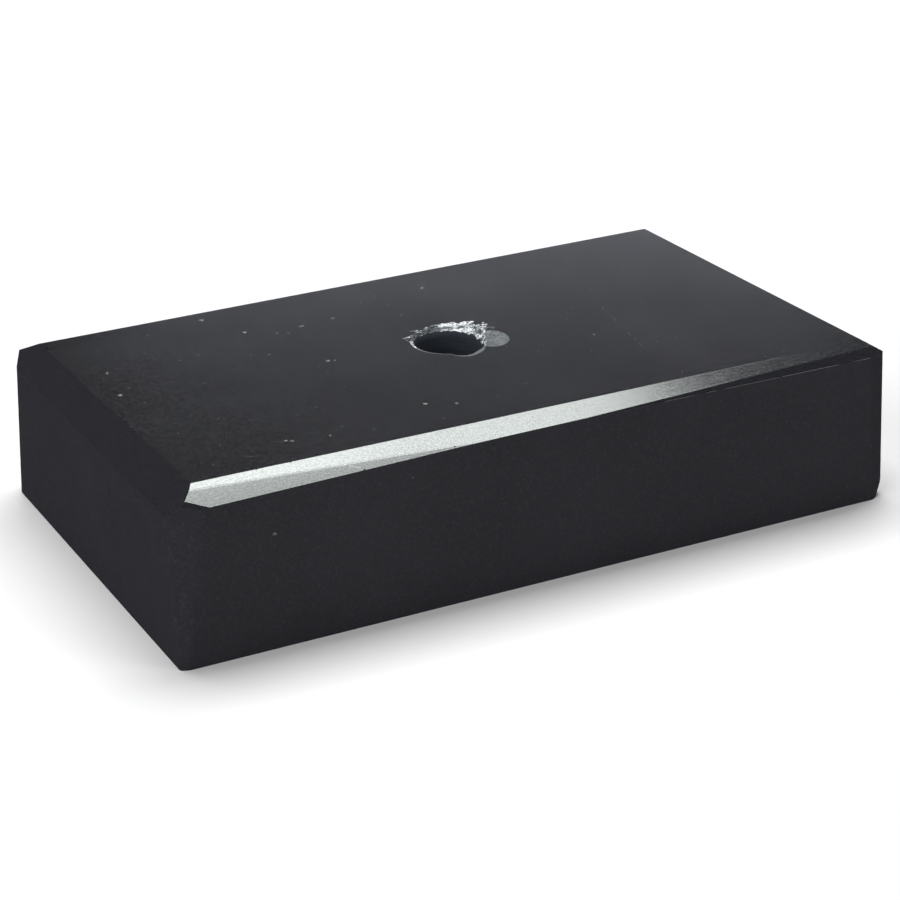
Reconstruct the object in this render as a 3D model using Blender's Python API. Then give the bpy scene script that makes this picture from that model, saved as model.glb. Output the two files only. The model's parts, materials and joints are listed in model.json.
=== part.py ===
"""Sharpening whetstone: one solid block of black stone, bevelled and drilled.

The block rests on its sawn underside. X runs along its length, Y across its width
and Z up, and the origin is the centre of the underside's outline. The front is -Y.

Run with: blender --background --python part.py
"""

import math

import bmesh
import bpy
from mathutils import Matrix, Vector

INCH = 0.0254

# Driving dimensions. Everything is in metres.
LENGTH = 4.0 * INCH
WIDTH = 2.5 * INCH
HEIGHT = 0.875 * INCH
HOLE_DIAMETER = 0.375 * INCH

# The drilling missed the exact middle of the block by about a millimetre.
HOLE_X = 0.0008
HOLE_Y = -0.0011

# A broad, low bevel is ground along each top edge: how far it reaches in over the top
# face and how far it drops down its side, both at the middle of the edge, and how much
# the reach grows for each metre along the edge (along +X in front, along -Y at left).
BEVELS = {
    "front": (0.0494 * WIDTH, 0.0191 * WIDTH, -0.0111),
    "right": (0.0499 * WIDTH, 0.0322 * WIDTH, 0.0),
    "back": (0.0809 * WIDTH, 0.0407 * WIDTH, 0.0),
    "left": (0.0623 * WIDTH, 0.0413 * WIDTH, 0.0086),
}

# Towards both its ends the front bevel was ground again, more steeply: where along the
# block that starts, how much lower it ends, and the share of the bevel it takes there.
REGRINDS = {
    "left": (-0.084 * LENGTH, 0.0090 * WIDTH, 0.77),
    "right": (0.027 * LENGTH, 0.0108 * WIDTH, 0.48),
}

# Each upright edge is snubbed by a plane that leans: its width along the long side and
# along the short side just under the top bevels, and along the long side at the foot.
SNUB_DEPTH = 0.025 * WIDTH
SNUBS = {
    "front_left": (0.068 * WIDTH, 0.033 * WIDTH, 0.015 * WIDTH),
    "front_right": (0.052 * WIDTH, 0.032 * WIDTH, 0.035 * WIDTH),
    "back_left": (0.042 * WIDTH, 0.096 * WIDTH, 0.014 * WIDTH),
    "back_right": (0.032 * WIDTH, 0.032 * WIDTH, 0.012 * WIDTH),
}

# Shallow flakes broke out round the mouth of the hole as it was drilled: the place of
# each from the hole's centre, its radius and its depth, in hole radii.
FLAKES = {
    "far_flake": (-0.10, 0.56, 1.00, 0.06),
    "far_right_flake": (0.75, 0.56, 0.90, 0.13),
    "right_flake": (1.17, -0.45, 0.60, 0.16),
    "near_flake": (0.10, -0.95, 0.46, 0.07),
}

HOLE_SEGMENTS = 48
FLAKE_SEGMENTS = 72
CUT_CLEARANCE = 0.002
SMOOTH_ANGLE = math.radians(30.0)

STONE_COLOUR = (0.012, 0.012, 0.014, 1.0)
STONE_ROUGHNESS = 0.45


def clear_scene():
    for item in list(bpy.data.objects):
        bpy.data.objects.remove(item, do_unlink=True)


def new_collection(name):
    collection = bpy.data.collections.new(name)
    bpy.context.scene.collection.children.link(collection)
    return collection


def new_object(name, mesh, collection):
    """Turn a bmesh into a named object with its origin at the frame's origin."""
    data = bpy.data.meshes.new(name)
    mesh.to_mesh(data)
    mesh.free()
    item = bpy.data.objects.new(name, data)
    collection.objects.link(item)
    return item


def stone_material():
    material = bpy.data.materials.new("black_stone")
    material.use_nodes = True
    shader = material.node_tree.nodes["Principled BSDF"]
    shader.inputs["Base Color"].default_value = STONE_COLOUR
    shader.inputs["Roughness"].default_value = STONE_ROUGHNESS
    shader.inputs["Metallic"].default_value = 0.0
    return material


def grind_flat(mesh, point, normal):
    """Take off what lies beyond a plane, and close the cut with one flat face."""
    geometry = mesh.verts[:] + mesh.edges[:] + mesh.faces[:]
    cut = bmesh.ops.bisect_plane(
        mesh, geom=geometry, plane_co=point, plane_no=normal, clear_outer=True
    )
    rim = [part for part in cut["geom_cut"] if isinstance(part, bmesh.types.BMEdge)]
    bmesh.ops.contextual_create(mesh, geom=rim)


def grind_top_edges(mesh):
    """Bevel the four top edges: each plane drops from the top face to its side."""
    outward = {"front": (0, -1), "right": (1, 0), "back": (0, 1), "left": (-1, 0)}
    for side, (x, y) in outward.items():
        inset, drop, growth = BEVELS[side]
        foot = Vector((x * LENGTH / 2, y * WIDTH / 2, HEIGHT - drop))
        slope = Vector((x - y * growth, y + x * growth, 0.0)) * drop
        slope.z = inset
        grind_flat(mesh, foot, slope.normalized())


def front_bevel_at(x):
    """The lowest and the highest point of the front bevel at one place along it."""
    inset, drop, growth = BEVELS["front"]
    foot_z = HEIGHT - drop * (1.0 + growth * x / inset)
    foot = Vector((x, -WIDTH / 2, foot_z))
    head = Vector((x, -WIDTH / 2 + inset + growth * x, HEIGHT))
    return foot, head


def regrind_front_bevel(mesh):
    """Cut the steeper facets of the front bevel, which widen towards its two ends."""
    for end, (start_x, extra_drop, share) in REGRINDS.items():
        start, _ = front_bevel_at(start_x)
        foot, head = front_bevel_at(LENGTH / 2 if end == "right" else -LENGTH / 2)
        high_end = foot.lerp(head, share)
        low_end = foot - Vector((0.0, 0.0, extra_drop))
        normal = (high_end - start).cross(low_end - start)
        if normal.z < 0.0:
            normal.negate()
        grind_flat(mesh, start, normal.normalized())


def snub_upright_edges(mesh):
    """Cut the four upright edges with planes that lean out towards the foot."""
    under_bevels = HEIGHT - SNUB_DEPTH
    for name, (long_width, short_width, foot_width) in SNUBS.items():
        x = 1 if name.endswith("right") else -1
        y = 1 if name.startswith("back") else -1
        long_point = Vector((x * (LENGTH / 2 - long_width), y * WIDTH / 2, under_bevels))
        short_point = Vector((x * LENGTH / 2, y * (WIDTH / 2 - short_width), under_bevels))
        foot_point = Vector((x * (LENGTH / 2 - foot_width), y * WIDTH / 2, 0.0))
        normal = (short_point - long_point).cross(foot_point - long_point)
        if normal.x * x < 0:
            normal.negate()
        grind_flat(mesh, long_point, normal.normalized())


def stone_block(collection):
    """The whole block, with its ground edges, before the hole is drilled."""
    mesh = bmesh.new()
    place = Matrix.Translation((0.0, 0.0, HEIGHT / 2))
    size = Matrix.Diagonal((LENGTH, WIDTH, HEIGHT, 1.0))
    bmesh.ops.create_cube(mesh, size=1.0, matrix=place @ size)
    grind_top_edges(mesh)
    regrind_front_bevel(mesh)
    snub_upright_edges(mesh)
    bmesh.ops.recalc_face_normals(mesh, faces=mesh.faces[:])
    return new_object("stone_block", mesh, collection)


def hole_cutter(collection):
    """A drill's cylinder, which passes both faces of the block."""
    mesh = bmesh.new()
    radius = HOLE_DIAMETER / 2
    bmesh.ops.create_cone(
        mesh,
        cap_ends=True,
        segments=HOLE_SEGMENTS,
        radius1=radius,
        radius2=radius,
        depth=HEIGHT + 2 * CUT_CLEARANCE,
        matrix=Matrix.Translation((HOLE_X, HOLE_Y, HEIGHT / 2)),
    )
    return new_object("hole_cutter", mesh, collection)


def flake_cutter(name, across, along, radius, depth, collection):
    """A large ball whose lowest cap scoops one shallow, round flake from the top."""
    unit = HOLE_DIAMETER / 2
    ball_radius = unit * (radius ** 2 + depth ** 2) / (2 * depth)
    centre = Vector((HOLE_X + across * unit, HOLE_Y + along * unit, 0.0))
    centre.z = HEIGHT - depth * unit + ball_radius
    mesh = bmesh.new()
    bmesh.ops.create_uvsphere(
        mesh,
        u_segments=FLAKE_SEGMENTS // 2,
        v_segments=FLAKE_SEGMENTS,
        radius=ball_radius,
        matrix=Matrix.Translation(centre),
    )
    return new_object(name, mesh, collection)


def cut_away(block, cutter):
    """Subtract a cutter from the block, and show the cutter as a wire guide."""
    cutter.display_type = "WIRE"
    cutter.hide_render = True
    for face in cutter.data.polygons:
        face.use_smooth = True
    cut = block.modifiers.new(cutter.name, "BOOLEAN")
    cut.operation = "DIFFERENCE"
    cut.solver = "EXACT"
    cut.object = cutter


def build():
    clear_scene()
    parts = new_collection("sharpening_whetstone")
    cutters = new_collection("cutters")

    block = stone_block(parts)
    block.data.materials.append(stone_material())
    block.data.set_sharp_from_angle(angle=SMOOTH_ANGLE)

    cut_away(block, hole_cutter(cutters))
    for name, (across, along, radius, depth) in FLAKES.items():
        cut_away(block, flake_cutter(name, across, along, radius, depth, cutters))


build()
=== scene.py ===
"""The looks of the sharpening whetstone: one detailed block that stands for the CAD solid.

Everything is in metres, in the CAD frame. The block's flat faces are taken from the CAD
node, and its bore is where the record's opening puts it. What is added here is finer than
the CAD model: softened and nicked edges, a drilled bore, the broken stone round its
mouth, and the finishes of the honed, ground, sawn and freshly broken surfaces.
"""

import json
import math
import random

import bmesh
import bpy
from mathutils import Euler, Matrix, Vector, noise


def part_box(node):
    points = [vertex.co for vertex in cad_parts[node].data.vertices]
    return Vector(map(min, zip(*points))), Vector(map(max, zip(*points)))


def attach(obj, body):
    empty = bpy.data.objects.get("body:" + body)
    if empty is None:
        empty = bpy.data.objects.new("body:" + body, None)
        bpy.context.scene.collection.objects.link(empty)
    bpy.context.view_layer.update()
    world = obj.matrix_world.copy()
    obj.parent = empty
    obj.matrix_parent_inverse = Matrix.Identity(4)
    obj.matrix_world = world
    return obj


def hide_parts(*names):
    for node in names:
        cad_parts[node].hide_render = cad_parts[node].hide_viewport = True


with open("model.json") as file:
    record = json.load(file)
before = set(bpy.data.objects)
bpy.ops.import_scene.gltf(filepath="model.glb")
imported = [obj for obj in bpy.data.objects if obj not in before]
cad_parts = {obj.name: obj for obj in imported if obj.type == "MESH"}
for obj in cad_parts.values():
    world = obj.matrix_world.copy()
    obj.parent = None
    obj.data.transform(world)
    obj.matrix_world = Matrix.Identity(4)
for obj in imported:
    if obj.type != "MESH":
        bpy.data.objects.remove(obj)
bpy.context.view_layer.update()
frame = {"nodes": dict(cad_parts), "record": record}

MM = 0.001
INCH = 0.0254
NODE = "stone_block"

# The material slots of the block, in order.
HONED, GROUND, SAWN, BORE, BROKEN, BRUISED = range(6)

# A face whose normal rises more than the first is the top; more than the second, a bevel.
TOP_RISE = 0.99
BEVEL_RISE = 0.5

# Softened edges: the radius for the upright edges, how much is ground off the edges
# between the facets of one bevel, and the radius for all other sharp edges.
UPRIGHT_SOFTENING = 0.4 * MM
UPRIGHT_SEGMENTS = 7
FACET_EASING = 0.012 * MM
EDGE_SOFTENING = 0.16 * MM
EDGE_SEGMENTS = 3
SHARP_ANGLE = math.radians(14.0)

# Faces that differ by less than FLAT_TOLERANCE are one face. An edge runs along an axis
# when its direction's share of that axis is more than ALONG_AXIS.
FLAT_TOLERANCE = math.radians(0.5)
ALONG_AXIS = 0.7

# Points closer than these are one point, on the CAD's hull and on the finished block.
HULL_WELD = 0.001 * MM
WELD_DISTANCE = 0.0005 * MM

# The slanting direction along which faces are put in order.
FACE_ORDER = (-1.0, -1.7, -2.9)

# Small nicks along the edges: how many, their radius, their length, width and height in
# radii, how far out of the edge their middles stand, also in radii, and the part of each
# edge that they keep to.
NICKS_PER_METRE = 22
NICK_RADIUS = (0.12 * MM, 0.26 * MM)
NICK_SHAPE = (1.6, 1.0, 0.9)
NICK_STANDOFF = (0.55, 0.85)
NICK_ENDS = (0.04, 0.96)
NICK_SEED = 7

# The bore and the broken stone round its mouth.
BORE_RADIUS = 0.1875 * INCH
BORE_COLUMNS = 720
BORE_ROWS = 22
RIM_ROWS = 40
CUT_CLEARANCE = 1.0 * MM
RIM_OVERRUN = 1.12

# Unevenness of the drilled wall: rings left by the drill, and its slow wander.
RING_DEPTH = 0.025 * MM
RING_PITCH = 0.7 * MM
WANDER_DEPTH = 0.05 * MM
WANDER_PITCH = 6.0 * MM

# Unevenness of the rim: how ragged its outline is where it is crushed and where it is
# only bruised, and the size and greatest depth of its crystals.
CRUSHED_RAGGEDNESS = 0.16
BRUISED_RAGGEDNESS = 0.05
CRYSTAL_SIZE = 0.42 * MM
STEP_SIZE = 1.3 * MM
CRYSTAL_DEPTH = 0.35 * MM

# The rim of the bore: a direction in degrees, how far the stone is broken away beyond
# the bore in that direction, and how deep it is broken at the bore, in millimetres.
RIM = (
    (-160, 0.30, 0.05),
    (-135, 0.30, 0.06),
    (-113, 0.36, 0.08),
    (-104, 1.30, 0.45),
    (-92, 1.90, 0.70),
    (-80, 1.80, 0.70),
    (-66, 1.25, 0.50),
    (-55, 0.85, 0.50),
    (-40, 0.60, 0.90),
    (-10, 0.70, 1.10),
    (8, 1.20, 0.90),
    (15, 1.60, 0.60),
    (20, 2.90, 0.55),
    (26, 3.35, 0.55),
    (40, 2.95, 0.50),
    (52, 2.45, 0.40),
    (64, 2.10, 0.35),
    (80, 1.75, 0.30),
    (92, 1.70, 0.30),
    (100, 0.90, 0.28),
    (126, 0.80, 0.25),
    (135, 1.05, 0.20),
    (142, 1.55, 0.15),
    (148, 0.80, 0.12),
    (156, 0.40, 0.08),
    (180, 0.30, 0.05),
)

# Between these two directions, counted anticlockwise, the rim is crushed to bright
# crystals; elsewhere it is only bruised grey.
CRUSHED_FROM, CRUSHED_TO = -45.0, 203.0

# Single flakes beside the rim: place from the bore's axis, turn in degrees, length and
# width from the middle to the edge, depth, and finish. Sizes are in millimetres.
FLAKES = (
    (5.45, -2.25, 70, 3.10, 2.20, 0.42, BRUISED),
    (6.85, 1.40, 8, 0.85, 0.55, 0.08, BRUISED),
    (6.85, 1.40, 8, 0.62, 0.38, 0.35, BORE),
    (-2.35, 5.75, -10, 0.60, 0.28, 0.08, BROKEN),
)

FLAKE_DETAIL = 5
FLAKE_WAVINESS = 0.035

# Pale specks of dust on the honed top: place from the block's centre and radius, in
# millimetres. A speck smaller than FULL_SPECK is fainter too.
SPECKS = (
    (-24.8, 23.8, 0.32),
    (-21.4, 16.1, 0.32),
    (-13.8, 14.4, 0.25),
    (-17.9, 13.6, 0.22),
    (-16.5, 12.8, 0.22),
    (-22.0, 6.5, 0.2),
    (-42.9, 11.2, 0.25),
    (-44.1, 2.9, 0.3),
    (-16.1, 0.3, 0.28),
    (-15.3, 0.0, 0.22),
    (-8.8, 15.1, 0.2),
    (-0.2, 11.3, 0.18),
    (7.2, 20.0, 0.26),
    (18.6, -9.0, 0.22),
    (19.8, 0.3, 0.2),
    (-11.9, -19.8, 0.34),
    (-8.4, -21.7, 0.24),
    (-31.9, -21.9, 0.26),
    (-31.2, -22.3, 0.26),
    (-26.5, -23.2, 0.22),
)
FULL_SPECK = 0.32
SPECK_WANDER = 1.1 * MM

# Pale specks on the sides: place and radius, in millimetres.
SIDE_SPECKS = (
    (-37.9, -31.75, 15.1, 0.30),
    (-19.7, -31.75, 18.3, 0.22),
    (50.5, -30.6, 2.0, 0.34),
)

# Corners that are broken or rolled off along a plane: three of its points, in
# millimetres, and its finish. One is the foot of the front right corner, the other the
# low left end of the front bevel.
LOST_CORNERS = (
    ((49.4, -31.25, 0.0), (50.8, -30.3, 1.9), (50.8, -28.5, 0.0), SAWN),
    ((-48.3, -30.36, 21.08), (-45.8, -31.75, 20.31), (-47.6, -31.2, 20.35), GROUND),
)

# Scratches on the honed top: both ends from the block's centre, in millimetres.
SCRATCHES = (
    ((24.8, -0.3), (21.1, -19.8)),
    ((-2.3, -18.4), (3.9, -20.9)),
    ((-38.8, -24.0), (-36.2, -24.6)),
    ((7.0, 18.3), (7.6, 21.9)),
)
SCRATCH_WIDTH = 0.07 * MM

# Pale scratches on the steep end of the front bevel, in millimetres.
BEVEL_SCRATCHES = (
    ((-28.2, -30.6, 21.3), (-27.7, -30.5, 21.4)),
    ((-27.4, -30.8, 21.2), (-26.2, -31.3, 20.9)),
)

# The lower edge of the front bevel's right end, painted pale as a highlight along it, in
# millimetres.
PAINTED_EDGE_HIGHLIGHT = ((16.0, -31.73, 20.87), (47.6, -31.73, 20.56))

# Camera: it looks at the block from the front and a little to its left.
CAMERA_AZIMUTH = math.radians(-26.00)
CAMERA_ELEVATION = math.radians(22.87)
CAMERA_ROLL = math.radians(-1.82)
CAMERA_DISTANCE = 0.34742
CAMERA_OFFSET = (0.00074, 0.00567)
CAMERA_LENS = 101.38
CAMERA_SENSOR = 36.0

# Studio: the floor, and the surround as it is seen and as it lights the block.
FLOOR_SIZE = 8.0
FLOOR_ALBEDO = 0.75
SKY_SEEN = 0.90
SKY_LIGHT = 0.06

# Soft boxes: place, the point that each faces, size and radiance.
ORIGIN = (0.0, 0.0, 0.0)
SOFT_BOXES = {
    "top_box": ((0.15, 0.395, 1.20), (0.15, 0.395, 0.0), (1.10, 0.72), 8.0),
    "top_box_left": ((0.26, 0.58, 1.21), (0.26, 0.58, 0.0), (0.44, 0.34), 2.4),
    "fill_left": ((-1.12, -0.38, 0.76), ORIGIN, (0.9, 0.9), 4.6),
    "fill_right": ((0.95, -1.1, 0.7), ORIGIN, (0.7, 0.7), 3.6),
    "front_card": ((0.3, -1.5, 0.32), ORIGIN, (2.4, 0.46), 0.35),
    "back_card": ((0.68, 1.32, 0.22), ORIGIN, (0.60, 0.34), 2.5),
}
FILLS = ("fill_left", "fill_right")
COOL = (0.93, 0.97, 1.08)


# ---------------------------------------------------------------- materials


class Shader:
    """A material's node tree, written one node at a time."""

    def __init__(self, name):
        self.material = bpy.data.materials.new(name)
        self.material.use_nodes = True
        self.tree = self.material.node_tree
        self.surface = self.tree.nodes["Principled BSDF"]
        self.place = self.node("ShaderNodeTexCoord").outputs["Object"]

    def node(self, kind, inputs=None, **settings):
        made = self.tree.nodes.new(kind)
        for key, value in settings.items():
            setattr(made, key, value)
        for key, value in (inputs or {}).items():
            self.feed(made.inputs[key], value)
        return made

    def feed(self, socket, value):
        if isinstance(value, bpy.types.NodeSocket):
            self.tree.links.new(value, socket)
        else:
            socket.default_value = value

    def math(self, operation, *values):
        made = self.node("ShaderNodeMath", operation=operation)
        for socket, value in zip(made.inputs, values):
            self.feed(socket, value)
        return made.outputs[0]

    def vector(self, operation, *values, out="Vector"):
        made = self.node("ShaderNodeVectorMath", operation=operation)
        for socket, value in zip(made.inputs, values):
            self.feed(socket, value)
        return made.outputs[out]

    def noise(self, scale, detail=3.0, roughness=0.55, place=None):
        """Cloudy noise, with its features about 1/scale metres across."""
        settings = {
            "Vector": place or self.place,
            "Scale": scale,
            "Detail": detail,
            "Roughness": roughness,
        }
        return self.node("ShaderNodeTexNoise", settings).outputs["Fac"]

    def spread(self, value, low, high, to_low=0.0, to_high=1.0):
        """A smooth ramp: low maps to to_low and high to to_high."""
        made = self.node("ShaderNodeMapRange", interpolation_type="SMOOTHSTEP")
        for key, number in (
            ("Value", value),
            ("From Min", low),
            ("From Max", high),
            ("To Min", to_low),
            ("To Max", to_high),
        ):
            self.feed(made.inputs[key], number)
        return made.outputs["Result"]

    def mix(self, share, first, second):
        made = self.node("ShaderNodeMix", data_type="RGBA")
        colours = [item for item in made.inputs if item.type == "RGBA"]
        self.feed(made.inputs["Factor"], share)
        self.feed(colours[0], first)
        self.feed(colours[1], second)
        return next(item for item in made.outputs if item.type == "RGBA")

    def bump(self, height, strength, distance):
        settings = {"Height": height, "Strength": strength, "Distance": distance}
        normal = self.node("ShaderNodeBump", settings).outputs["Normal"]
        self.feed(self.surface.inputs["Normal"], normal)

    def finish(self, colour, roughness, ior):
        """Set the surface itself: its colour, its roughness and how it reflects."""
        self.feed(self.surface.inputs["Base Color"], colour)
        self.feed(self.surface.inputs["Roughness"], roughness)
        self.surface.inputs["IOR"].default_value = ior

    def sparkle(self, grain, weakest, strongest):
        """Let the grains reflect unequally."""
        level = self.spread(grain, 0.36, 0.64, weakest, strongest)
        self.feed(self.surface.inputs["Specular IOR Level"], level)


def grey(value, blue=0.0):
    return (value, value, value * (1.0 + blue), 1.0)


def specks_mask(shader, specks):
    """Small, uneven bits of pale dust at given places, in millimetres."""
    wander = shader.node("ShaderNodeTexNoise", {"Vector": shader.place, "Scale": 2600.0})
    shift = shader.vector("SUBTRACT", wander.outputs["Color"], (0.5, 0.5, 0.5))
    shift = shader.vector("MULTIPLY", shift, (SPECK_WANDER, SPECK_WANDER, 0.0))
    warped = shader.vector("ADD", shader.place, shift)
    total = 0.0
    for x, y, z, radius in specks:
        centre = (x * MM, y * MM, z * MM)
        away = shader.vector("DISTANCE", warped, centre, out="Value")
        rim = radius * MM
        weight = min(1.0, (radius / FULL_SPECK) ** 2)
        spot = shader.spread(away, 0.5 * rim, rim, weight, 0.0)
        total = shader.math("ADD", total, spot)
    return total


def scratch_mask(shader, start, end):
    """A thin line between two points, given in millimetres."""
    origin = Vector(start) * MM
    along = Vector(end) * MM - origin
    length = along.length
    along.normalize()
    from_start = shader.vector("SUBTRACT", shader.place, tuple(origin))
    travelled = shader.vector("DOT_PRODUCT", from_start, tuple(along), out="Value")
    inside = shader.math("MINIMUM", shader.math("MAXIMUM", travelled, 0.0), length)
    nearest = shader.node("ShaderNodeVectorMath", operation="SCALE")
    nearest.inputs[0].default_value = tuple(along)
    shader.feed(nearest.inputs["Scale"], inside)
    away = shader.vector("DISTANCE", from_start, nearest.outputs[0], out="Value")
    return shader.spread(away, 0.3 * SCRATCH_WIDTH, SCRATCH_WIDTH, 1.0, 0.0)


def scattered_specks(shader, cells_per_metre, share, size):
    """Random tiny specks: one in some cells of a Voronoi pattern."""
    settings = {"Vector": shader.place, "Scale": cells_per_metre}
    cells = shader.node("ShaderNodeTexVoronoi", settings, voronoi_dimensions="2D")
    chance = shader.node("ShaderNodeSeparateXYZ", {"Vector": cells.outputs["Color"]})
    chosen = shader.math("LESS_THAN", chance.outputs["X"], share)
    dot = shader.spread(cells.outputs["Distance"], 0.5 * size, size, 1.0, 0.0)
    return shader.math("MULTIPLY", chosen, dot)


def honed_stone(top):
    """The flat top: fine honed, with a faint haze, dust and scratches."""
    shader = Shader("honed_stone")
    clouds = shader.noise(70.0, 4.0)
    grain = shader.noise(1700.0, 2.0, 0.8)
    dust = scattered_specks(shader, 330.0, 0.10, 0.045)
    fine_dust = scattered_specks(shader, 900.0, 0.14, 0.10)
    patches = shader.spread(shader.noise(45.0, 2.0), 0.48, 0.66)
    fine_dust = shader.math("MULTIPLY", fine_dust, patches)
    marks = specks_mask(shader, [(x, y, top / MM, radius) for x, y, radius in SPECKS])
    lines = 0.0
    for start, end in SCRATCHES:
        mask = scratch_mask(shader, (*start, top / MM), (*end, top / MM))
        lines = shader.math("ADD", lines, mask)
    breaks = shader.spread(shader.noise(900.0, 2.0), 0.40, 0.62)
    lines = shader.math("MULTIPLY", lines, breaks)

    colour = shader.mix(clouds, grey(0.0015, 0.1), grey(0.0025, 0.1))
    colour = shader.mix(shader.spread(grain, 0.38, 0.66), colour, grey(0.0145, 0.1))
    pale = shader.math("MULTIPLY", dust, 0.22)
    pale = shader.math("ADD", pale, shader.math("MULTIPLY", fine_dust, 0.10))
    pale = shader.math("ADD", pale, shader.math("MULTIPLY", marks, 0.62))
    pale = shader.math("ADD", pale, shader.math("MULTIPLY", lines, 0.16))
    colour = shader.mix(shader.math("MINIMUM", pale, 1.0), colour, grey(0.42))

    shine = shader.spread(clouds, 0.3, 0.7, 0.19, 0.205)
    shine = shader.math("ADD", shine, shader.math("MULTIPLY", marks, 0.2))
    shader.finish(colour, shine, 1.5)
    shader.sparkle(grain, 0.39, 0.61)
    shader.bump(grain, 0.12, 0.03 * MM)
    return shader.material


def ground_stone():
    """The bevels: ground with a fine grit, satin, brighter than the rest."""
    shader = Shader("ground_stone")
    grit = shader.noise(4200.0, 2.0, 0.7)
    clouds = shader.noise(160.0, 3.0)
    colour = shader.mix(clouds, grey(0.0090, 0.25), grey(0.0130, 0.25))
    colour = shader.mix(shader.spread(grit, 0.38, 0.64), colour, grey(0.0170, 0.25))
    lines = 0.0
    for start, end in BEVEL_SCRATCHES:
        lines = shader.math("ADD", lines, scratch_mask(shader, start, end))
    colour = shader.mix(lines, colour, grey(0.30))
    # Painted highlight: a pale, broken line along the lower edge of the front bevel's right
    # end.
    painted_highlight = shader.math("MULTIPLY", scratch_mask(shader, *PAINTED_EDGE_HIGHLIGHT), 0.45)
    painted_highlight = shader.math("MULTIPLY", painted_highlight, shader.spread(shader.noise(420.0), 0.38, 0.52))
    colour = shader.mix(painted_highlight, colour, grey(0.30))
    shader.finish(colour, shader.spread(grit, 0.36, 0.66, 0.11, 0.17), 1.75)
    shader.sparkle(grit, 0.41, 0.59)
    shader.surface.inputs["Specular Tint"].default_value = (0.93, 1.0, 0.96, 1.0)
    shader.bump(grit, 0.10, 0.02 * MM)
    return shader.material


def sawn_stone():
    """The sides and the underside: sawn and rubbed down, dull."""
    shader = Shader("sawn_stone")
    clouds = shader.noise(110.0, 4.0)
    grain = shader.noise(2200.0, 3.0)
    stretched = shader.vector("MULTIPLY", shader.place, (1.0, 1.0, 9.0))
    saw_lines = shader.noise(160.0, 2.0, 0.5, stretched)
    colour = shader.mix(clouds, grey(0.0215, 0.22), grey(0.0285, 0.22))
    colour = shader.mix(shader.spread(grain, 0.45, 0.8), colour, grey(0.037, 0.2))
    marks = specks_mask(shader, SIDE_SPECKS)
    colour = shader.mix(shader.math("MULTIPLY", marks, 0.4), colour, grey(0.35))
    shader.finish(colour, shader.spread(clouds, 0.3, 0.7, 0.46, 0.56), 1.4)
    height = shader.math("ADD", grain, shader.math("MULTIPLY", saw_lines, 1.5))
    shader.bump(height, 0.10, 0.03 * MM)
    return shader.material


def bored_stone():
    """The drilled wall: dark, with rings left by the drill."""
    shader = Shader("bored_stone")
    stretched = shader.vector("MULTIPLY", shader.place, (1.0, 1.0, 14.0))
    rings = shader.noise(260.0, 3.0, 0.6, stretched)
    colour = shader.mix(rings, (0.018, 0.022, 0.029, 1.0), (0.055, 0.064, 0.078, 1.0))
    shader.finish(colour, 0.5, 1.45)
    shader.bump(rings, 0.4, 0.06 * MM)
    return shader.material


def broken_stone(centre, top):
    """Fresh breaks: pale crushed crystals in patches over the dark stone. Each crystal's
    brightness, from dark to near white, is partly its own and partly painted glints.
    """
    shader = Shader("broken_stone")
    settings = {"Vector": shader.place, "Scale": 5200.0}
    crystals = shader.node("ShaderNodeTexVoronoi", settings)
    flat = shader.vector("MULTIPLY", shader.place, (0.32, 1.0, 1.0))
    patches = shader.noise(1150.0, 3.0, 0.65, flat)
    axis = shader.node("ShaderNodeSeparateXYZ", {"Vector": shader.place})
    side = shader.spread(axis.outputs["X"], centre.x - 3.5 * MM, centre.x + 3.5 * MM)
    edge = shader.spread(axis.outputs["Z"], top - 0.11 * MM, top - 0.02 * MM)
    patches = shader.math("ADD", patches, shader.math("MULTIPLY", side, 0.09))
    patches = shader.math("ADD", patches, shader.math("MULTIPLY", edge, 0.07))
    pale = shader.spread(patches, 0.53, 0.58)
    # Painted glints: each crystal gets its own brightness from dark to near white, standing in
    # for sparkle off its facets.
    facet = shader.node("ShaderNodeSeparateXYZ", {"Vector": crystals.outputs["Color"]})
    painted_glint = shader.math("POWER", facet.outputs["X"], 1.4)
    bright = shader.mix(painted_glint, (0.09, 0.11, 0.12, 1.0), (0.90, 0.93, 0.94, 1.0))
    core = shader.spread(patches, 0.60, 0.72)
    bright = shader.mix(shader.math("MULTIPLY", core, 0.6), bright, (0.84, 0.87, 0.88, 1.0))
    shade = shader.mix(side, (0.016, 0.022, 0.026, 1.0), (0.070, 0.086, 0.092, 1.0))
    colour = shader.mix(pale, shade, bright)
    rough = shader.math("ADD", crystals.outputs["Distance"], patches)
    shader.finish(colour, 0.42, 1.5)
    shader.bump(rough, 0.6, 0.08 * MM)
    return shader.material


def bruised_stone():
    """Where the stone flaked or was bruised without crushing: an even, dull grey."""
    shader = Shader("bruised_stone")
    grain = shader.noise(2700.0, 3.0, 0.7)
    clouds = shader.noise(620.0, 3.0, 0.6)
    dark, light = (0.022, 0.027, 0.029, 1.0), (0.172, 0.190, 0.194, 1.0)
    share = shader.math("MULTIPLY", shader.spread(grain, 0.38, 0.66), 0.65)
    share = shader.math("ADD", share, shader.spread(clouds, 0.35, 0.65, 0.0, 0.35))
    shader.finish(shader.mix(share, dark, light), 0.6, 1.45)
    shader.bump(grain, 0.35, 0.05 * MM)
    return shader.material


# ---------------------------------------------------------------- the block


def object_from(mesh, name):
    data = bpy.data.meshes.new(name)
    mesh.to_mesh(data)
    mesh.free()
    made = bpy.data.objects.new(name, data)
    bpy.context.scene.collection.objects.link(made)
    return made


def finish_of(face):
    """The slot of one of the block's outer faces, from the way it faces."""
    rise = face.normal.z
    if rise > TOP_RISE:
        return HONED
    return GROUND if rise > BEVEL_RISE else SAWN


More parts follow.
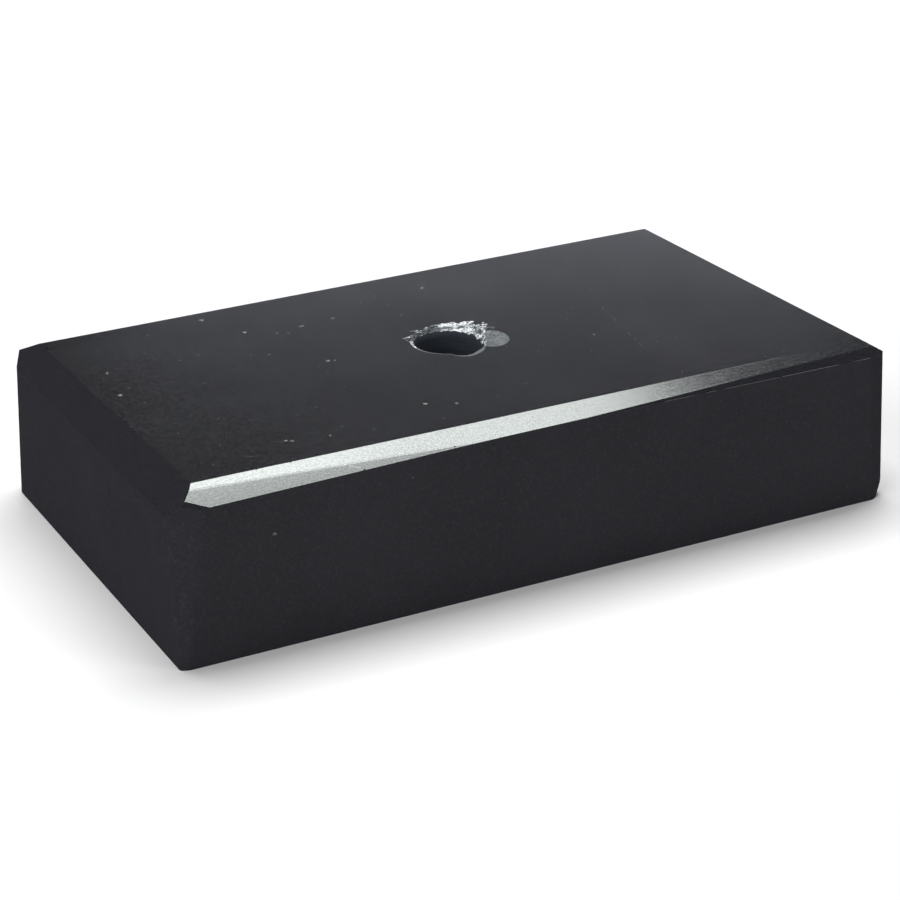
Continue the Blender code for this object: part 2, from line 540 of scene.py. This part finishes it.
def soften(mesh, edges, offset, segments):
    """Round some edges off. Only the rounded strips are shaded smooth."""
    rounded = bmesh.ops.bevel(
        mesh,
        geom=edges,
        offset=offset,
        segments=segments,
        profile=0.5,
        affect="EDGES",
        clamp_overlap=True,
        material=-1,
    )
    for face in rounded["faces"]:
        face.smooth = True
    # The bevel's faces come in another order each run. A fixed order keeps every later
    # cut the same, down to its slivers.
    mesh.faces.sort(key=lambda face: face.calc_center_median().dot(FACE_ORDER))


def hull_block():
    """The undrilled block with clean faces, softened edges and a finish for each face."""
    mesh = bmesh.new()
    for vert in frame["nodes"][NODE].data.vertices:
        mesh.verts.new(vert.co)
    bmesh.ops.remove_doubles(mesh, verts=mesh.verts[:], dist=HULL_WELD)
    hull = bmesh.ops.convex_hull(mesh, input=mesh.verts[:])
    inner = [item for item in hull["geom_interior"] if isinstance(item, bmesh.types.BMVert)]
    bmesh.ops.delete(mesh, geom=inner, context="VERTS")
    bmesh.ops.dissolve_limit(
        mesh,
        angle_limit=FLAT_TOLERANCE,
        verts=mesh.verts[:],
        edges=mesh.edges[:],
    )
    bmesh.ops.recalc_face_normals(mesh, faces=mesh.faces[:])
    for face in mesh.faces:
        face.material_index = finish_of(face)
    outline = [(edge.verts[0].co.copy(), edge.verts[1].co.copy()) for edge in mesh.edges]

    ease_facet_edges(mesh)
    for *points, slot in LOST_CORNERS:
        cut_corner(mesh, points, slot)
    uprights = []
    for edge in mesh.edges:
        run = (edge.verts[1].co - edge.verts[0].co).normalized()
        if abs(run.z) > ALONG_AXIS and all(f.material_index == SAWN for f in edge.link_faces):
            uprights.append(edge)
    soften(mesh, uprights, UPRIGHT_SOFTENING, UPRIGHT_SEGMENTS)
    sharp = [edge for edge in mesh.edges if edge.calc_face_angle() > SHARP_ANGLE]
    soften(mesh, sharp, EDGE_SOFTENING, EDGE_SEGMENTS)
    return mesh, outline


def ease_facet_edges(mesh):
    """Grind the edges between the facets of one bevel a little flatter."""
    found = []
    for edge in mesh.edges:
        if all(face.material_index == GROUND for face in edge.link_faces):
            first, second = (face.normal for face in edge.link_faces)
            run = (edge.verts[1].co - edge.verts[0].co).normalized()
            if abs(run.x) > ALONG_AXIS:
                found.append((edge.verts[0].co.copy(), (first + second).normalized()))
    for point, normal in found:
        grind_flat(mesh, point - normal * FACET_EASING, normal, GROUND)


def cut_corner(mesh, points, slot):
    """Take a corner off along the plane through three points given in millimetres."""
    first, second, third = (Vector(point) * MM for point in points)
    normal = (second - first).cross(third - first).normalized()
    if normal.dot(first) < 0.0:
        normal.negate()
    grind_flat(mesh, first, normal, slot)


def grind_flat(mesh, point, normal, slot):
    """Take off what lies beyond a plane, and close the cut with one face."""
    geometry = mesh.verts[:] + mesh.edges[:] + mesh.faces[:]
    cut = bmesh.ops.bisect_plane(
        mesh, geom=geometry, plane_co=point, plane_no=normal, clear_outer=True
    )
    rim = [part for part in cut["geom_cut"] if isinstance(part, bmesh.types.BMEdge)]
    made = bmesh.ops.contextual_create(mesh, geom=rim)
    for face in made["faces"]:
        face.material_index = slot


def rim_at(degrees):
    """How far and how deep the rim is broken in a direction, before its roughness."""
    for first, second in zip(RIM, RIM[1:] + RIM[:1]):
        span = (second[0] - first[0]) % 360.0
        along = (degrees - first[0]) % 360.0
        if along < span:
            share = along / span
            reach = first[1] + (second[1] - first[1]) * share
            depth = first[2] + (second[2] - first[2]) * share
            return reach * MM, depth * MM
    raise ValueError(degrees)


def is_crushed(degrees):
    return (degrees - CRUSHED_FROM) % 360.0 < CRUSHED_TO - CRUSHED_FROM


def bore_column(degrees, centre, top):
    """One upright line of the cutter's skin: up the bore, out over the rim, and up."""
    angle = math.radians(degrees)
    outward = Vector((math.cos(angle), math.sin(angle), 0.0))
    crushed = is_crushed(degrees)
    ragged = CRUSHED_RAGGEDNESS if crushed else BRUISED_RAGGEDNESS
    reach, depth = rim_at(degrees)
    reach *= 1.0 + ragged * noise.fractal(outward * 9.0, 0.7, 2.0, 5)
    depth *= 1.0 + 2.5 * ragged * noise.fractal(outward * 7.0 + Vector((9, 0, 0)), 0.7, 2.0, 5)
    points = []
    for row in range(BORE_ROWS + 1):
        z = -CUT_CLEARANCE + (top - depth + CUT_CLEARANCE) * row / BORE_ROWS
        ring = noise.noise(Vector((0.8 * angle, 3.0, z / RING_PITCH)))
        wander = noise.noise(outward * 1.5 + Vector((0, 0, z / WANDER_PITCH)))
        radius = BORE_RADIUS + RING_DEPTH * ring + WANDER_DEPTH * wander
        points.append(centre + outward * radius + Vector((0, 0, z)))
    start = points[-1].copy()
    for row in range(1, RIM_ROWS + 1):
        share = RIM_OVERRUN * row / RIM_ROWS
        place = start + outward * reach * share
        left = 1.0 - share
        fall = depth * left * (0.25 + 0.75 * abs(left))
        middle = max(0.0, 4.0 * share * left)
        if crushed:
            crystals = noise.fractal(place / CRYSTAL_SIZE, 0.7, 2.1, 5)
            steps = noise.noise(place / STEP_SIZE)
            fall += middle * min(depth, CRYSTAL_DEPTH) * 0.6 * (crystals + steps)
        place.z = top - fall
        points.append(place)
    last = points[-1].copy()
    last.z = top + CUT_CLEARANCE
    points.append(last)
    return points


def bore_cutter(centre, top):
    """The shape that is drilled and broken out of the block."""
    mesh = bmesh.new()
    turns = [360.0 * step / BORE_COLUMNS - 180.0 for step in range(BORE_COLUMNS)]
    columns = []
    for degrees in turns:
        column = bore_column(degrees, centre, top)
        columns.append([mesh.verts.new(point) for point in column])
    foot = mesh.verts.new(centre + Vector((0, 0, -CUT_CLEARANCE)))
    head = mesh.verts.new(centre + Vector((0, 0, top + CUT_CLEARANCE)))
    for degrees, left, right in zip(turns, columns, columns[1:] + columns[:1]):
        rim = BROKEN if is_crushed(degrees) else BRUISED
        mesh.faces.new((foot, right[0], left[0])).material_index = BORE
        mesh.faces.new((head, left[-1], right[-1])).material_index = rim
        for row in range(len(left) - 1):
            quad = (left[row], right[row], right[row + 1], left[row + 1])
            face = mesh.faces.new(quad)
            face.material_index = BORE if row < BORE_ROWS else rim
            face.smooth = row < BORE_ROWS or rim == BRUISED
    bmesh.ops.recalc_face_normals(mesh, faces=mesh.faces[:])
    return object_from(mesh, "bore_cutter")


def flake_cutters(centre, top):
    """Flattened balls whose lowest caps scoop the single flakes from the top."""
    made = []
    for x, y, turn, length, width, depth, slot in FLAKES:
        mesh = bmesh.new()
        bmesh.ops.create_icosphere(mesh, subdivisions=FLAKE_DETAIL, radius=1.0)
        # The cap is half a radius deep, so it is sqrt(0.75) as wide as its ball.
        grow = 1.0 / math.sqrt(0.75)
        size = Matrix.Diagonal((length * grow, width * grow, 2.0 * depth)) * MM
        spin = Matrix.Rotation(math.radians(turn), 3, "Z")
        place = Vector((x * MM, y * MM, top + depth * MM)) + centre
        for vert in mesh.verts:
            wavy = 1.0 + FLAKE_WAVINESS * noise.fractal(vert.co * 2.2, 0.8, 2.0, 4)
            vert.co = place + spin @ (size @ (vert.co * wavy))
        for face in mesh.faces:
            face.material_index = slot
            face.smooth = True
        made.append(object_from(mesh, "flake_cutter"))
    return made


def nick_cutter(outline, top):
    """Small rough lumps set along the block's edges, to bite nicks out of them."""
    chance = random.Random(NICK_SEED)
    middle = Vector((0.0, 0.0, top / 2))
    mesh = bmesh.new()
    for start, end in outline:
        length = (end - start).length
        for _ in range(int(length * NICKS_PER_METRE + chance.random())):
            radius = chance.uniform(*NICK_RADIUS) * chance.random() ** 0.5
            radius = max(radius, NICK_RADIUS[0])
            place = start.lerp(end, chance.uniform(*NICK_ENDS))
            outward = (place - middle).normalized()
            place = place + outward * radius * chance.uniform(*NICK_STANDOFF)
            turn = Euler([chance.uniform(0.0, math.tau) for _ in range(3)]).to_matrix()
            made = bmesh.ops.create_icosphere(mesh, subdivisions=2, radius=radius)
            for vert in made["verts"]:
                rough = 1.0 + 0.3 * noise.noise(vert.co / (0.6 * radius) + place / MM)
                vert.co = place + turn @ Matrix.Diagonal(NICK_SHAPE) @ (vert.co * rough)
    for face in mesh.faces:
        face.material_index = SAWN
    return object_from(mesh, "nick_cutter")


def subtract(target, cutter):
    """Cut one object out of another for good, and remove the cutter."""
    cut = target.modifiers.new("cut", "BOOLEAN")
    cut.operation = "DIFFERENCE"
    cut.solver = "EXACT"
    cut.object = cutter
    cut.use_self = True
    bpy.context.view_layer.update()
    graph = bpy.context.evaluated_depsgraph_get()
    result = bpy.data.meshes.new_from_object(target.evaluated_get(graph))
    target.modifiers.clear()
    target.data = result
    bpy.data.objects.remove(cutter, do_unlink=True)


def clean(block):
    """Weld the seams of the cuts, and drop slivers and loose crumbs."""
    mesh = bmesh.new()
    mesh.from_mesh(block.data)
    bmesh.ops.triangulate(mesh, faces=mesh.faces[:])
    bmesh.ops.remove_doubles(mesh, verts=mesh.verts[:], dist=WELD_DISTANCE)
    bmesh.ops.dissolve_degenerate(mesh, edges=mesh.edges[:], dist=WELD_DISTANCE)
    body = {max(mesh.verts, key=lambda vert: vert.co.x)}
    newest = set(body)
    while newest:
        linked = {edge.other_vert(vert) for vert in newest for edge in vert.link_edges}
        newest = linked - body
        body |= newest
    crumbs = [vert for vert in mesh.verts if vert not in body]
    bmesh.ops.delete(mesh, geom=crumbs, context="VERTS")
    mesh.to_mesh(block.data)
    mesh.free()


def stone_piece(centre, top):
    """The whole block. Its bore's axis is at centre, and its top at the height top."""
    mesh, outline = hull_block()
    block = object_from(mesh, "whetstone_block")
    materials = (
        honed_stone(top),
        ground_stone(),
        sawn_stone(),
        bored_stone(),
        broken_stone(centre, top),
        bruised_stone(),
    )
    for material in materials:
        block.data.materials.append(material)
    cutters = [nick_cutter(outline, top), *flake_cutters(centre, top)]
    cutters.append(bore_cutter(centre, top))
    for cutter in cutters:
        for material in materials:
            cutter.data.materials.append(material)
        subtract(block, cutter)
    clean(block)
    return block


# ---------------------------------------------------------------- studio


def soft_box(name):
    """An area light that faces a point. Radiance is its brightness as seen directly."""
    place, target, size, radiance = SOFT_BOXES[name]
    data = bpy.data.lights.new(name, "AREA")
    data.shape = "RECTANGLE"
    data.size, data.size_y = size
    data.energy = radiance * math.pi * size[0] * size[1]
    light = bpy.data.objects.new(name, data)
    light.location = place
    direction = Vector(target) - Vector(place)
    light.rotation_euler = direction.to_track_quat("-Z", "Y").to_euler()
    light.visible_glossy = name not in FILLS
    bpy.context.scene.collection.objects.link(light)
    return light


def pale_world():
    """A pale surround as seen past the floor's edge, which gives only a weak light."""
    world = bpy.data.worlds.new("studio")
    world.use_nodes = True
    nodes = world.node_tree.nodes
    links = world.node_tree.links
    seen = nodes["Background"]
    seen.inputs["Color"].default_value = grey(SKY_SEEN)
    lit = nodes.new("ShaderNodeBackground")
    lit.inputs["Color"].default_value = grey(SKY_LIGHT, 0.1)
    path = nodes.new("ShaderNodeLightPath")
    mix = nodes.new("ShaderNodeMixShader")
    links.new(path.outputs["Is Camera Ray"], mix.inputs["Fac"])
    links.new(lit.outputs[0], mix.inputs[1])
    links.new(seen.outputs[0], mix.inputs[2])
    links.new(mix.outputs[0], nodes["World Output"].inputs["Surface"])
    bpy.context.scene.world = world


def pale_floor():
    mesh = bmesh.new()
    bmesh.ops.create_grid(mesh, x_segments=1, y_segments=1, size=FLOOR_SIZE / 2)
    floor = object_from(mesh, "floor")
    shader = Shader("floor_paper")
    tone = shader.noise(6.0, 2.0)
    low, high = grey(0.97 * FLOOR_ALBEDO), grey(FLOOR_ALBEDO)
    shader.finish(shader.mix(tone, low, high), 0.9, 1.3)
    floor.data.materials.append(shader.material)
    floor.visible_glossy = False


def studio():
    """The fills only brighten the sides: they aren't mirrored in the polished top."""
    pale_world()
    pale_floor()
    for name in SOFT_BOXES:
        soft_box(name)
    bpy.data.lights["back_card"].color = COOL


def camera():
    """A camera on the block's front left, turned a little about its own line of sight."""
    level = math.cos(CAMERA_ELEVATION)
    ahead = -math.cos(CAMERA_AZIMUTH) * level
    back = Vector((math.sin(CAMERA_AZIMUTH) * level, ahead, math.sin(CAMERA_ELEVATION)))
    right = (-back).cross(Vector((0.0, 0.0, 1.0))).normalized()
    up = right.cross(-back)
    across = right * math.cos(CAMERA_ROLL) + up * math.sin(CAMERA_ROLL)
    upward = up * math.cos(CAMERA_ROLL) - right * math.sin(CAMERA_ROLL)
    data = bpy.data.cameras.new("camera")
    data.lens = CAMERA_LENS
    data.sensor_width = CAMERA_SENSOR
    data.clip_start = 0.01
    view = bpy.data.objects.new("camera", data)
    turn = Matrix((across, upward, back)).transposed()
    view.rotation_euler = turn.to_euler()
    aside, raised = CAMERA_OFFSET
    view.location = back * CAMERA_DISTANCE + across * aside + upward * raised
    bpy.context.scene.collection.objects.link(view)
    bpy.context.scene.camera = view


# ---------------------------------------------------------------- put together

_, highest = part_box(NODE)
opening = frame["record"]["physics"]["openings"][0]["box_m"]
bore_centre = (Vector(opening[0]) + Vector(opening[1])) / 2
bore_centre.z = 0.0

piece = stone_piece(bore_centre, highest.z)
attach(piece, "root")
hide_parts(NODE)

studio()
camera()
bpy.context.scene.view_settings.view_transform = "Standard"
